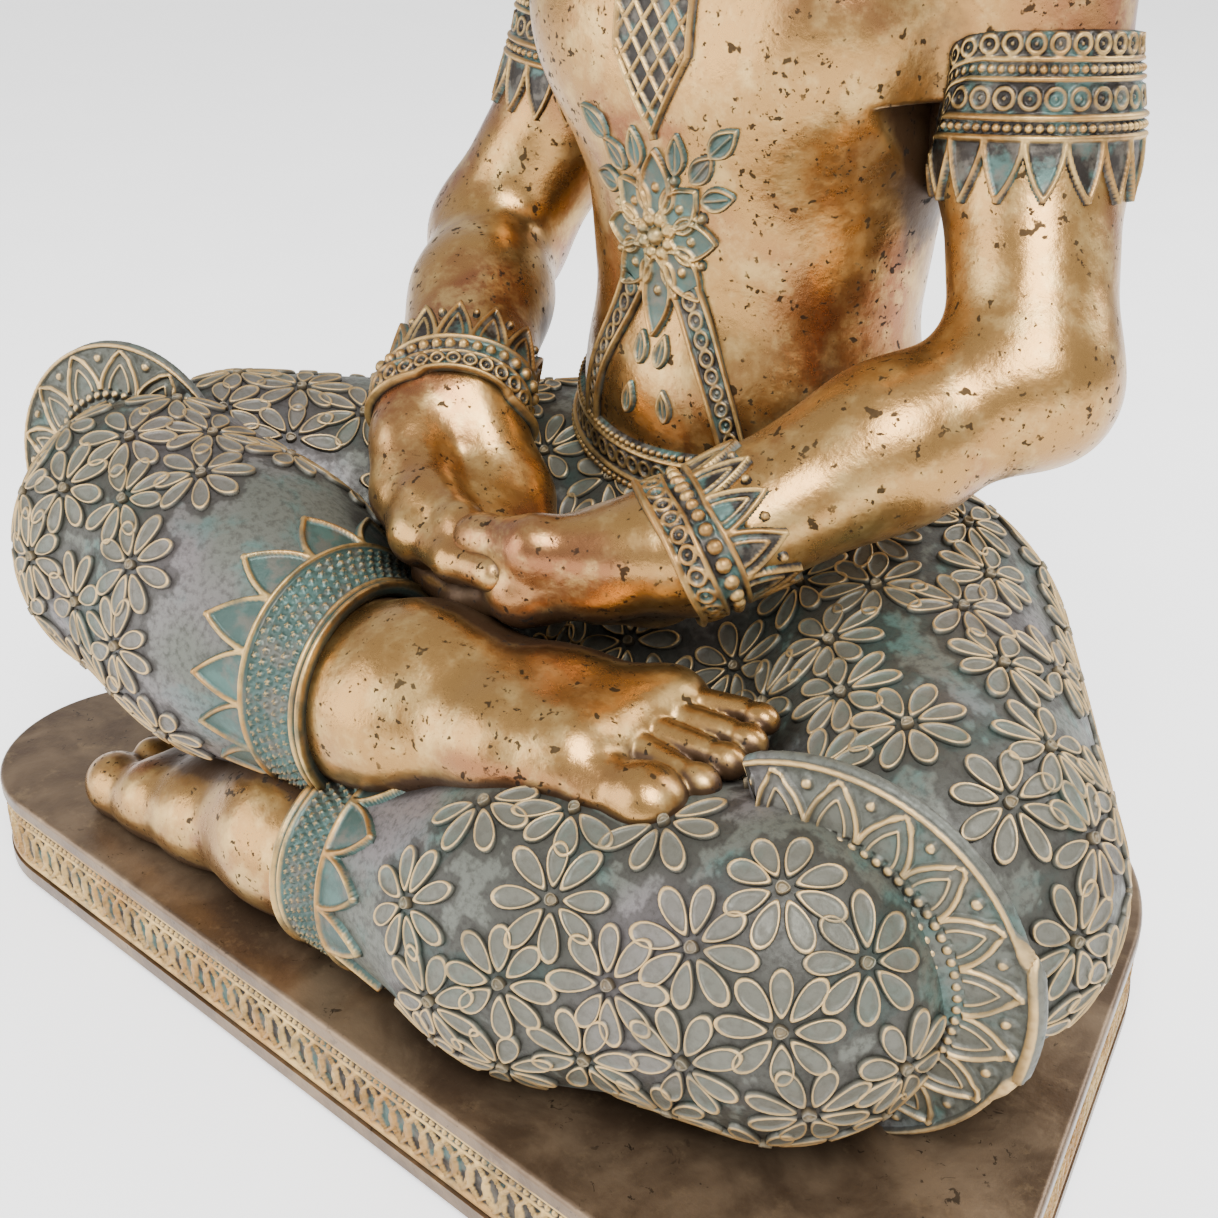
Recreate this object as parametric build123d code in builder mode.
from build123d import *
from math import asin, cos, sin
import os

# Seated figure in half lotus on a low plinth, assembled from sectional castings.
# Millimetres. +Z is up, the figure faces -Y and its own left hand side is +X.
# The origin is the centre of the footprint, on the surface that the pads stand on.

os.makedirs("parts", exist_ok=True)

# ---------------------------------------------------------------- driving dimensions
PAD_THICK = 2.0
PLATE_THICK = 3.0
PLINTH_TOP = 26.0
PLINTH_HALF_WIDTH = 148.0
PLINTH_HALF_DEPTH = 95.0
FRONT_CORNER_RADIUS = 35.0
BACK_CORNER_RADIUS = 70.0
BACK_CORNER_OFFSET = 52.0
PLINTH_WALL = 5.0
PLINTH_ROOF = 6.0
FRIEZE_DEPTH = 2.0
RIM_HEIGHT = 3.6

SEAM_WAIST = 108.0
SEAM_ARM = 205.0
SEAM_NECK = 268.0
ORNAMENT_RAISE = 2.6

DOWEL_RADIUS = 4.0
BOLT_RADIUS = 2.5
INSERT_RADIUS = 5.0
INSERT_LENGTH = 14.0
BIG = 400.0

# Limb stations: x, y, z and the radius of the body there.
HIP_LEFT = (48, 50, 68, 42)
KNEE_LEFT = (98, -12, 64, 37)
HIP_RIGHT = (-46, 52, 71, 42)
KNEE_RIGHT = (-107, -22, 84, 36)
SHIN_LEFT = [(88, -46, 59, 33), (40, -60, 51, 28), (-14, -68, 44, 20)]
SHIN_RIGHT = [(-103, -49, 86, 36), (-66, -51, 80, 31), (-28, -54, 76, 25)]
FOOT_LEFT = [(-20, -69, 41, 17), (-58, -73, 38, 13), (-80, -76, 37, 10)]
FOOT_RIGHT = [(-14, -54, 75, 21), (20, -48, 84, 16), (44, -42, 88, 12)]
GREAT_TOE_LEFT = [(-78, -78, 36, 8.5), (-91, -80, 34, 7)]
GREAT_TOE_RIGHT = [(44, -52, 86, 9), (62, -54, 86, 8)]
UPPER_ARM = [(58, 64, 226, 21), (60, 63, 194, 19), (79, 44, 149, 17)]
FOREARM_LEFT = [(79, 44, 149, 17), (58, 12, 131, 15), (36, -15, 118, 12.5)]
FOREARM_RIGHT = [(-79, 44, 149, 17), (-60, 16, 137, 15), (-40, -7, 128, 13)]
PALM_LEFT = [(36, -15, 118, 12.5), (14, -25, 106, 12), (-6, -31, 97, 9)]
PALM_RIGHT = [(-40, -7, 128, 13), (-31, -25, 114, 12), (-10, -36, 103, 9)]
THUMB_LEFT = [(24, -22, 120, 7), (-3, -32, 113, 5)]
THUMB_RIGHT = [(-36, -22, 122, 7), (-12, -33, 112, 5)]

# Torso sections: height, half width, half depth and how far back the centre is.
TORSO_SECTIONS = [
    (104, 49, 44, 48),
    (120, 41, 38, 47),
    (146, 35, 33.5, 50),
    (170, 36.5, 34, 51),
    (198, 43, 38, 54),
    (226, 58, 33, 56.5),
    (246, 56, 27, 59.5),
    (258, 34, 22, 63),
    (268, 20, 18, 63),
    (286, 18, 18, 61),
]
# Head sections: height, half width, half depth and how far back the centre is.
HEAD_SECTIONS = [
    (280, 13, 14, 40),
    (290, 23, 25, 44),
    (306, 30, 33, 48),
    (326, 33, 36.5, 51),
    (345, 32, 36.5, 52),
    (360, 24, 29, 53),
    (369, 12, 15, 53),
]


def point(station):
    """Centre of a limb station."""
    return Vector(*station[:3])


def limb_piece(start, end, grow=0.0, mode=Mode.ADD):
    """A cone between two stations with a ball at each end, tangent to both balls."""
    base = point(start)
    axis = point(end) - base
    length = axis.length
    low, high = start[3] + grow, end[3] + grow
    lean = asin((low - high) / length)
    side = axis.cross(Vector(0, 0, 1)).normalized()
    plane = Plane(origin=base, x_dir=side, z_dir=side.cross(axis))
    low_edge = (low * cos(lean), low * sin(lean))
    high_edge = (high * cos(lean), length + high * sin(lean))
    with BuildSketch(plane) as profile:
        with BuildLine():
            Line((0, length + high), (0, -low))
            TangentArc((0, -low), low_edge, tangent=(1, 0))
            Line(low_edge, high_edge)
            TangentArc((0, length + high), high_edge, tangent=(1, 0))
        make_face()
    revolve(profile.sketch, axis=Axis(base, axis), mode=mode)


def limb(stations, grow=0.0, mode=Mode.ADD):
    """A limb through a list of stations."""
    for start, end in zip(stations[:-1], stations[1:]):
        limb_piece(start, end, grow, mode)


def mirrored(stations):
    """The same stations on the other side of the body."""
    return [(-x, y, z, r) for x, y, z, r in stations]


def flipped(place):
    """A place or direction on the other side of the body."""
    return (-place[0], place[1], place[2])


def stacked(sections, grow=0.0, mode=Mode.ADD):
    """A body lofted through level ellipses."""
    rings = []
    for height, half_width, half_depth, back in sections:
        with BuildSketch(Plane.XY.offset(height)) as ring:
            with Locations((0, back)):
                Ellipse(half_width + grow, half_depth + grow)
        rings.append(ring.sketch.face())
    loft(rings, mode=mode)


def half_space(origin, direction, mode=Mode.SUBTRACT):
    """Cut away, or keep, everything beyond a plane."""
    with BuildSketch(Plane(origin=origin, z_dir=direction)) as sheet:
        Rectangle(BIG, BIG)
    extrude(sheet.sketch, amount=BIG, mode=mode)


def band(centre, direction, radius, length, mode=Mode.ADD):
    """A round disc centred on a limb, later hollowed by the limb itself."""
    with Locations(Plane(origin=centre, z_dir=direction)):
        Cylinder(radius, length, mode=mode)


def dowel(centre, direction, radius, length, mode=Mode.ADD):
    """A plain pin, or the hole for one."""
    band(centre, direction, radius, length, mode)


def carve(*neighbours):
    """Remove the neighbours, so that the piece meets them face to face."""
    for neighbour in neighbours:
        add(neighbour.part, mode=Mode.SUBTRACT)


def finish(builder, name):
    """Label a piece and write it."""
    builder.part.label = name
    export_step(builder.part, f"parts/{name}.step")


def plinth_outline(inset=0.0):
    """Footprint: two tight front corners and two wide back corners, pulled tight."""
    front_x = PLINTH_HALF_WIDTH - FRONT_CORNER_RADIUS
    front_y = FRONT_CORNER_RADIUS - PLINTH_HALF_DEPTH
    back_y = PLINTH_HALF_DEPTH - BACK_CORNER_RADIUS
    with BuildSketch() as outline:
        with Locations((front_x, front_y), (-front_x, front_y)):
            Circle(FRONT_CORNER_RADIUS - inset)
        with Locations((BACK_CORNER_OFFSET, back_y), (-BACK_CORNER_OFFSET, back_y)):
            Circle(BACK_CORNER_RADIUS - inset)
        make_hull()
    return outline.sketch


# ---------------------------------------------------------------- figure fixings
bolt_places = [(0, 50), (58, 34), (-58, 34)]
bolt_engagement = INSERT_LENGTH - 2.0
bolt_head_radius = 1.8 * BOLT_RADIUS
washer_radius = 2.4 * BOLT_RADIUS
roof_under = PLINTH_TOP - PLINTH_ROOF
washer_thick = 1.2
bolt_head = 4.0

with BuildPart() as threaded_inserts:
    with Locations(*[(x, y, PLINTH_TOP) for x, y in bolt_places]):
        Cylinder(INSERT_RADIUS, INSERT_LENGTH, align=(Align.CENTER, Align.CENTER, Align.MIN))
        Cylinder(BOLT_RADIUS, INSERT_LENGTH, align=(Align.CENTER, Align.CENTER, Align.MIN),
                 mode=Mode.SUBTRACT)
finish(threaded_inserts, "threaded_inserts")

with BuildPart() as figure_bolts:
    with Locations(*[(x, y, roof_under - washer_thick) for x, y in bolt_places]):
        Cylinder(BOLT_RADIUS, PLINTH_ROOF + washer_thick + bolt_engagement,
                 align=(Align.CENTER, Align.CENTER, Align.MIN))
        Cylinder(bolt_head_radius, bolt_head, align=(Align.CENTER, Align.CENTER, Align.MAX))
finish(figure_bolts, "figure_bolts")

with BuildPart() as figure_washers:
    with Locations(*[(x, y, roof_under) for x, y in bolt_places]):
        Cylinder(washer_radius, washer_thick, align=(Align.CENTER, Align.CENTER, Align.MAX))
        Cylinder(BOLT_RADIUS, washer_thick, align=(Align.CENTER, Align.CENTER, Align.MAX),
                 mode=Mode.SUBTRACT)
finish(figure_washers, "figure_washers")

# ---------------------------------------------------------------- plinth
plate_top = PAD_THICK + PLATE_THICK
screw_places = [(118, -62), (-118, -62), (0, -79), (92, 42), (-92, 42), (0, 79)]
boss_radius = 6.0
screw_radius = 1.5
screw_length = 12.0
screw_head_radius = 3.0
screw_head_thick = 2.0
top_edge_round = 1.2
pad_radius = 11.0
pad_places = [(100, -70), (-100, -70), (62, 66), (-62, 66)]
frieze_gap = 0.4
frieze_low = PAD_THICK + RIM_HEIGHT
frieze_high = PLINTH_TOP - RIM_HEIGHT

with BuildPart() as plinth:
    extrude(plinth_outline(), amount=PLINTH_TOP - PAD_THICK)
    fillet(plinth.edges().group_by(Axis.Z)[-1], top_edge_round)
    extrude(plinth_outline(PLINTH_WALL), amount=roof_under - PAD_THICK, mode=Mode.SUBTRACT)
    with Locations(*[(x, y, plate_top - PAD_THICK) for x, y in screw_places]):
        Cylinder(boss_radius, roof_under - plate_top, align=(Align.CENTER, Align.CENTER, Align.MIN))
        Cylinder(screw_radius, screw_length, align=(Align.CENTER, Align.CENTER, Align.MIN),
                 mode=Mode.SUBTRACT)
    with Locations(*[(x, y, 0) for x, y in bolt_places]):
        Cylinder(BOLT_RADIUS, PLINTH_TOP, align=(Align.CENTER, Align.CENTER, Align.MIN),
                 mode=Mode.SUBTRACT)
    with BuildSketch(Plane.XY.offset(frieze_low - PAD_THICK)) as frieze_recess:
        add(plinth_outline())
        add(plinth_outline(FRIEZE_DEPTH), mode=Mode.SUBTRACT)
    extrude(amount=frieze_high - frieze_low, mode=Mode.SUBTRACT)
plinth.part.position = (0, 0, PAD_THICK)
finish(plinth, "plinth")

with BuildPart() as plinth_frieze:
    with BuildSketch(Plane.XY.offset(frieze_low)) as frieze_ring:
        add(plinth_outline(frieze_gap))
        add(plinth_outline(FRIEZE_DEPTH), mode=Mode.SUBTRACT)
    extrude(amount=frieze_high - frieze_low)
finish(plinth_frieze, "plinth_frieze")

with BuildPart() as base_plate:
    extrude(plinth_outline(PLINTH_WALL), amount=PLATE_THICK)
    with Locations(*[(x, y, 0) for x, y in screw_places]):
        Cylinder(screw_radius, PLATE_THICK, align=(Align.CENTER, Align.CENTER, Align.MIN),
                 mode=Mode.SUBTRACT)
        Cylinder(screw_head_radius, screw_head_thick, mode=Mode.SUBTRACT,
                 align=(Align.CENTER, Align.CENTER, Align.MIN))
base_plate.part.position = (0, 0, PAD_THICK)
finish(base_plate, "base_plate")

with BuildPart() as base_screws:
    with Locations(*[(x, y, PAD_THICK) for x, y in screw_places]):
        Cylinder(screw_head_radius, screw_head_thick, align=(Align.CENTER, Align.CENTER, Align.MIN))
        Cylinder(screw_radius, screw_length, align=(Align.CENTER, Align.CENTER, Align.MIN))
finish(base_screws, "base_screws")

with BuildPart() as foot_pads:
    with Locations(*[(x, y, 0) for x, y in pad_places]):
        Cylinder(pad_radius, PAD_THICK, align=(Align.CENTER, Align.CENTER, Align.MIN))
finish(foot_pads, "foot_pads")

# ---------------------------------------------------------------- dowels
waist_dowel_size = (1.5 * DOWEL_RADIUS, 36.0)
shoulder_dowel_length = 24.0
wrist_dowel_size = (2.5, 16.0)
ankle_dowel_length = 18.0
neck_dowel_length = 28.0
neck_dowel_centre = (0, 64, SEAM_NECK)
waist_dowel_centre = (0, 50, SEAM_WAIST)
arm_seam_centre = (59.5, 63.5, SEAM_ARM)
wrist_left = Vector(40, -10, 120.5)
wrist_left_axis = Vector(-0.6, -0.73, -0.36)
wrist_right = Vector(-43, -3.5, 129.5)
wrist_right_axis = Vector(0.64, -0.72, -0.28)
ankle_left = Vector(-20, -69, 43)
ankle_left_axis = Vector(-1, -0.12, -0.08)
ankle_right = Vector(-14, -53, 77)
ankle_right_axis = Vector(1, 0.1, 0.1)


def waist_dowel_cut(mode=Mode.SUBTRACT):
    """Stout pin between the lap and the torso."""
    dowel(waist_dowel_centre, (0, 0, 1), *waist_dowel_size, mode)


with BuildPart() as waist_dowel:
    waist_dowel_cut(Mode.ADD)
finish(waist_dowel, "waist_dowel")

with BuildPart() as shoulder_dowels:
    for hand in (1, -1):
        x, y, z = arm_seam_centre
        dowel((hand * x, y, z), (0, 0, 1), DOWEL_RADIUS, shoulder_dowel_length)
finish(shoulder_dowels, "shoulder_dowels")

with BuildPart() as wrist_dowels:
    dowel(wrist_left, wrist_left_axis, *wrist_dowel_size)
    dowel(wrist_right, wrist_right_axis, *wrist_dowel_size)
finish(wrist_dowels, "wrist_dowels")

with BuildPart() as ankle_dowels:
    dowel(ankle_left, ankle_left_axis, DOWEL_RADIUS, ankle_dowel_length)
    dowel(ankle_right, ankle_right_axis, DOWEL_RADIUS, ankle_dowel_length)
finish(ankle_dowels, "ankle_dowels")

with BuildPart() as neck_dowel:
    dowel(neck_dowel_centre, (0, 0, 1), DOWEL_RADIUS, neck_dowel_length)
finish(neck_dowel, "neck_dowel")

# ---------------------------------------------------------------- lap and legs
HIP_BRIDGE = [(-30, 54, 72, 40), (30, 54, 70, 40)]
CLOTH_BRIDGE = [(-52, 4, 54, 30), (52, 4, 50, 30)]
SEAT_SECTIONS = [(PLINTH_TOP, 34, 32, 52), (70, 56, 40, 51), (SEAM_WAIST, 46, 42, 48)]
CUFF_LEFT_RADIUS = 22.0
CUFF_LEFT_LENGTH = 13.0
CUFF_RIGHT_RADIUS = 27.0
CUFF_RIGHT_LENGTH = 14.0
TOE_COUNT = 4
TOE_PITCH = 6.4
TOE_RISE = 1.6
TOE_ROOT = (44, -45, 88, 5)
TOE_TIP = (62, -45, 88, 4.4)
# Knee flounces: centre, direction, radius and length.
FLOUNCE_LEFT = ((100, -38, 62), (0.85, 0.45, 0.1), 39, 16)
FLOUNCE_RIGHT = ((-114, -42, 90), (-0.85, 0.4, 0.3), 40, 14)

with BuildPart() as lap:
    limb([HIP_LEFT, KNEE_LEFT])
    limb([HIP_RIGHT, KNEE_RIGHT])
    limb(HIP_BRIDGE)
    limb(CLOTH_BRIDGE)
    stacked(SEAT_SECTIONS)
    half_space((0, 0, PLINTH_TOP), (0, 0, -1))
    with Locations(*[(x, y, PLINTH_TOP) for x, y in bolt_places]):
        Cylinder(INSERT_RADIUS, INSERT_LENGTH, align=(Align.CENTER, Align.CENTER, Align.MIN),
                 mode=Mode.SUBTRACT)
    waist_dowel_cut()
finish(lap, "lap")

with BuildPart() as left_lower_leg:
    limb(SHIN_LEFT)
    half_space(ankle_left, ankle_left_axis)
    half_space((0, 0, PLINTH_TOP), (0, 0, -1))
    carve(lap, ankle_dowels)
finish(left_lower_leg, "left_lower_leg")

with BuildPart() as left_foot:
    limb(FOOT_LEFT)
    limb(GREAT_TOE_LEFT)
    half_space(ankle_left, -ankle_left_axis)
    half_space((0, 0, PLINTH_TOP), (0, 0, -1))
    carve(ankle_dowels)
finish(left_foot, "left_foot")

with BuildPart() as left_cuff:
    cuff_left = ankle_left - ankle_left_axis * 0.5 * CUFF_LEFT_LENGTH
    band(cuff_left, ankle_left_axis, CUFF_LEFT_RADIUS, CUFF_LEFT_LENGTH)
    half_space((0, 0, PLINTH_TOP), (0, 0, -1))
    carve(left_lower_leg, left_foot, ankle_dowels)
finish(left_cuff, "left_cuff")

with BuildPart() as right_lower_leg:
    limb(SHIN_RIGHT)
    half_space(ankle_right, ankle_right_axis)
    carve(lap, left_lower_leg, left_foot, left_cuff, ankle_dowels)
finish(right_lower_leg, "right_lower_leg")

with BuildPart() as right_foot:
    limb(FOOT_RIGHT)
    limb(GREAT_TOE_RIGHT)
    for toe in range(TOE_COUNT):
        root_x, root_y, root_z, root_radius = TOE_ROOT
        tip_x, tip_y, tip_z, tip_radius = TOE_TIP
        step = TOE_PITCH * toe
        limb([(root_x, root_y + step, root_z + toe, root_radius),
              (tip_x - toe, tip_y + step, tip_z + TOE_RISE * toe, tip_radius)])
    half_space(ankle_right, -ankle_right_axis)
    carve(lap, left_lower_leg, left_cuff, ankle_dowels)
finish(right_foot, "right_foot")

with BuildPart() as right_cuff:
    cuff_right = ankle_right - ankle_right_axis * 0.5 * CUFF_RIGHT_LENGTH
    band(cuff_right, ankle_right_axis, CUFF_RIGHT_RADIUS, CUFF_RIGHT_LENGTH)
    carve(right_lower_leg, right_foot, lap, left_lower_leg, left_cuff, left_foot, ankle_dowels)
finish(right_cuff, "right_cuff")

with BuildPart() as left_knee_flounce:
    band(*FLOUNCE_LEFT)
    half_space((0, 0, PLINTH_TOP), (0, 0, -1))
    carve(lap, left_lower_leg)
finish(left_knee_flounce, "left_knee_flounce")

with BuildPart() as right_knee_flounce:
    band(*FLOUNCE_RIGHT)
    carve(lap, right_lower_leg)
finish(right_knee_flounce, "right_knee_flounce")

# ---------------------------------------------------------------- torso and arms
BELT_LOW = 108.0
BELT_HIGH = 122.0
SASH_WIDTH = 9.0
SASH_TOP = (9.0, 160.0)
SASH_FOOT = (27.0, 119.0)
ROSETTE_HEIGHT = 168.0
ROSETTE_DISC = 11.0
PETAL_COUNT = 8
PETAL_REACH = 13.0
PETAL_HALF_LENGTH = 8.0
PETAL_HALF_WIDTH = 3.6
COLLAR_TOP = 262.0
PENDANT_LOW = 192.0
COLLAR_OUTLINE = [(60, COLLAR_TOP), (56, 240), (30, 228), (8, 218)]
ARMLET_CENTRE = (61.5, 61.5, 197.5)
ARMLET_AXIS = (0.12, -0.1, -1)
ARMLET_RADIUS = 23.5
ARMLET_LENGTH = 26.0
BRACELET_RADIUS_LEFT = 16.5
BRACELET_RADIUS_RIGHT = 17.0
BRACELET_LENGTH = 14.0
SASH_BACK = 40.0
ROSETTE_BACK = 50.0


def shoulders(grow=0.0):
    """Trunk and both shoulder caps down to the seams under the armlets."""
    stacked(TORSO_SECTIONS, grow)
    limb(UPPER_ARM[:2], grow)
    limb(mirrored(UPPER_ARM[:2]), grow)


with BuildPart() as arm_blanks:
    limb(UPPER_ARM)
    limb(mirrored(UPPER_ARM))
    half_space((0, 0, SEAM_ARM), (0, 0, 1))

with BuildPart() as torso:
    shoulders()
    half_space((0, 0, SEAM_WAIST), (0, 0, -1))
    half_space((0, 0, SEAM_NECK), (0, 0, 1))
    carve(arm_blanks, lap, shoulder_dowels, waist_dowel, neck_dowel)
finish(torso, "torso")

with BuildPart() as left_arm:
    limb(UPPER_ARM)
    limb(FOREARM_LEFT)
    half_space((0, 0, SEAM_ARM), (0, 0, 1))
    half_space(wrist_left, wrist_left_axis)
    carve(torso, lap, shoulder_dowels, wrist_dowels)
finish(left_arm, "left_arm")

with BuildPart() as right_arm:
    limb(mirrored(UPPER_ARM))
    limb(FOREARM_RIGHT)
    half_space((0, 0, SEAM_ARM), (0, 0, 1))
    half_space(wrist_right, wrist_right_axis)
    carve(torso, lap, shoulder_dowels, wrist_dowels)
finish(right_arm, "right_arm")

with BuildPart() as left_hand:
    limb(PALM_LEFT)
    limb(THUMB_LEFT)
    half_space(wrist_left, -wrist_left_axis)
    carve(lap, torso, right_lower_leg, right_cuff, right_foot, wrist_dowels)
finish(left_hand, "left_hand")

with BuildPart() as right_hand:
    limb(PALM_RIGHT)
    limb(THUMB_RIGHT)
    half_space(wrist_right, -wrist_right_axis)
    carve(left_hand, lap, torso, right_lower_leg, right_cuff, right_foot, wrist_dowels)
finish(right_hand, "right_hand")

with BuildPart() as left_armlet:
    band(ARMLET_CENTRE, ARMLET_AXIS, ARMLET_RADIUS, ARMLET_LENGTH)
    carve(left_arm, torso, shoulder_dowels)
finish(left_armlet, "left_armlet")

with BuildPart() as right_armlet:
    band(flipped(ARMLET_CENTRE), flipped(ARMLET_AXIS), ARMLET_RADIUS, ARMLET_LENGTH)
    carve(right_arm, torso, shoulder_dowels)
finish(right_armlet, "right_armlet")

with BuildPart() as left_bracelet:
    bracelet_left = wrist_left - wrist_left_axis * 0.5 * BRACELET_LENGTH
    band(bracelet_left, wrist_left_axis, BRACELET_RADIUS_LEFT, BRACELET_LENGTH)
    carve(left_arm, left_hand, lap, wrist_dowels)
finish(left_bracelet, "left_bracelet")

with BuildPart() as right_bracelet:
    bracelet_right = wrist_right - wrist_right_axis * 0.5 * BRACELET_LENGTH
    band(bracelet_right, wrist_right_axis, BRACELET_RADIUS_RIGHT, BRACELET_LENGTH)
    carve(right_arm, right_hand, lap, wrist_dowels)
finish(right_bracelet, "right_bracelet")

with BuildPart() as belt:
    stacked(TORSO_SECTIONS[:3], ORNAMENT_RAISE)
    half_space((0, 0, BELT_LOW), (0, 0, -1))
    half_space((0, 0, BELT_HIGH), (0, 0, 1))
    carve(torso, lap, waist_dowel, left_arm, right_arm, left_bracelet, right_bracelet)
finish(belt, "belt")


def sash(hand):
    """A strap from the rosette down to the belt, raised off the trunk."""
    top = (hand * SASH_TOP[0], SASH_TOP[1])
    foot = (hand * SASH_FOOT[0], SASH_FOOT[1])
    stacked(TORSO_SECTIONS, ORNAMENT_RAISE)
    with BuildSketch(Plane.XZ) as strap:
        with BuildLine():
            Line(top, foot)
        trace(line_width=SASH_WIDTH)
    extrude(strap.sketch, amount=BIG, both=True, mode=Mode.INTERSECT)
    half_space((0, SASH_BACK, 0), (0, 1, 0))
    half_space((0, 0, BELT_HIGH), (0, 0, -1))
    carve(torso, left_hand, right_hand)


with BuildPart() as left_sash:
    sash(1)
finish(left_sash, "left_sash")

with BuildPart() as right_sash:
    sash(-1)
    carve(left_sash)
finish(right_sash, "right_sash")

with BuildPart() as chest_rosette:
    stacked(TORSO_SECTIONS, 1.6 * ORNAMENT_RAISE)
    with BuildSketch(Plane.XZ.offset(20)) as flower:
        with Locations((0, ROSETTE_HEIGHT)):
            Circle(ROSETTE_DISC)
        for turn in range(PETAL_COUNT):
            with Locations(Location((0, ROSETTE_HEIGHT), 360 / PETAL_COUNT * turn)):
                with Locations((PETAL_REACH, 0)):
                    Ellipse(PETAL_HALF_LENGTH, PETAL_HALF_WIDTH)
    extrude(flower.sketch, amount=ROSETTE_BACK, both=True, mode=Mode.INTERSECT)
    half_space((0, ROSETTE_BACK, 0), (0, 1, 0))
    carve(torso, left_sash, right_sash, belt)
finish(chest_rosette, "chest_rosette")

with BuildPart() as collar:
    stacked(TORSO_SECTIONS, ORNAMENT_RAISE)
    with BuildSketch(Plane.XZ) as front_shape:
        with BuildLine():
            Polyline(*COLLAR_OUTLINE, (0, PENDANT_LOW),
                     *[(-x, z) for x, z in reversed(COLLAR_OUTLINE)], COLLAR_OUTLINE[0])
        make_face()
    extrude(front_shape.sketch, amount=BIG, both=True, mode=Mode.INTERSECT)
    half_space((0, 0, COLLAR_TOP), (0, 0, 1))
    carve(torso, left_armlet, right_armlet, left_arm, right_arm, neck_dowel)
finish(collar, "collar")

# ---------------------------------------------------------------- head
NECK_SECTIONS = [(SEAM_NECK, 20, 18, 64), (284, 17, 17, 57), (300, 16, 16, 52)]
NOSE_SIDE_VIEW = [(22, 309), (10, 309), (15, 329), (24, 334), (22, 309)]
NOSE_HALF_WIDTH = 3.6
LIPS = [(-6, 17, 299, 2.4), (6, 17, 299, 2.4)]
EYELID = [(8, 17.5, 324, 3.2), (17, 20.5, 324, 3.2)]
BROW = [(6, 15.5, 332, 1.6), (19, 20.5, 334, 1.6)]
EAR_CENTRE = (53, 312)
EAR_PLACE = 30.0
EAR_THICK = 6.0
EAR_HALF_SIZE = (6.5, 20.0)
HAIR_THICK = 3.0
DIADEM_RAISE = 4.8
DIADEM_BACK = 30.0
HAIRLINE = (0, 50, 322)
DIADEM_LOW = 338.0
DIADEM_HIGH = 348.0
USHNISHA_CENTRE = (0, 54, 366)
USHNISHA_RADIUS = 17.0
FINIAL_BASE = 379.0
TOTAL_HEIGHT = 412.0

with BuildPart() as head:
    stacked(HEAD_SECTIONS)
    stacked(NECK_SECTIONS)
    with BuildSketch(Plane.YZ) as nose:
        with BuildLine():
            Polyline(*NOSE_SIDE_VIEW)
        make_face()
    extrude(nose.sketch, amount=NOSE_HALF_WIDTH, both=True)
    limb(LIPS)
    for hand, features in ((1, (EYELID, BROW)), (-1, (mirrored(EYELID), mirrored(BROW)))):
        for feature in features:
            limb(feature)
        with BuildSketch(Plane.YZ.offset(hand * EAR_PLACE)) as ear:
            with Locations(EAR_CENTRE):
                Ellipse(*EAR_HALF_SIZE)
        extrude(ear.sketch, amount=hand * EAR_THICK)
    half_space((0, 0, SEAM_NECK), (0, 0, -1))
    carve(neck_dowel)
finish(head, "head")

with BuildPart() as hair_cap:
    stacked(HEAD_SECTIONS, HAIR_THICK)
    half_space(HAIRLINE, (0, -0.55, -0.84))
    carve(head)
finish(hair_cap, "hair_cap")

with BuildPart() as diadem:
    stacked(HEAD_SECTIONS, DIADEM_RAISE)
    half_space((0, DIADEM_BACK, DIADEM_LOW), (0, -0.12, -1))
    half_space((0, DIADEM_BACK, DIADEM_HIGH), (0, -0.12, 1))
    carve(head, hair_cap)
finish(diadem, "diadem")

with BuildPart() as ushnisha:
    with Locations(USHNISHA_CENTRE):
        Sphere(USHNISHA_RADIUS)
    half_space((0, 0, USHNISHA_CENTRE[2] - 4), (0, 0, -1))
    carve(head, hair_cap, diadem)
finish(ushnisha, "ushnisha")

with BuildPart() as finial:
    with BuildSketch(Plane.XZ.offset(-USHNISHA_CENTRE[1])) as bud:
        with BuildLine():
            Polyline((0, FINIAL_BASE), (7, FINIAL_BASE), (7, FINIAL_BASE + 5))
            Spline((7, FINIAL_BASE + 5), (9.5, FINIAL_BASE + 13), (5, FINIAL_BASE + 23),
                   (0, TOTAL_HEIGHT))
            Line((0, TOTAL_HEIGHT), (0, FINIAL_BASE))
        make_face()
    revolve(axis=Axis((0, USHNISHA_CENTRE[1], 0), (0, 0, 1)))
    carve(ushnisha, hair_cap)
finish(finial, "finial")
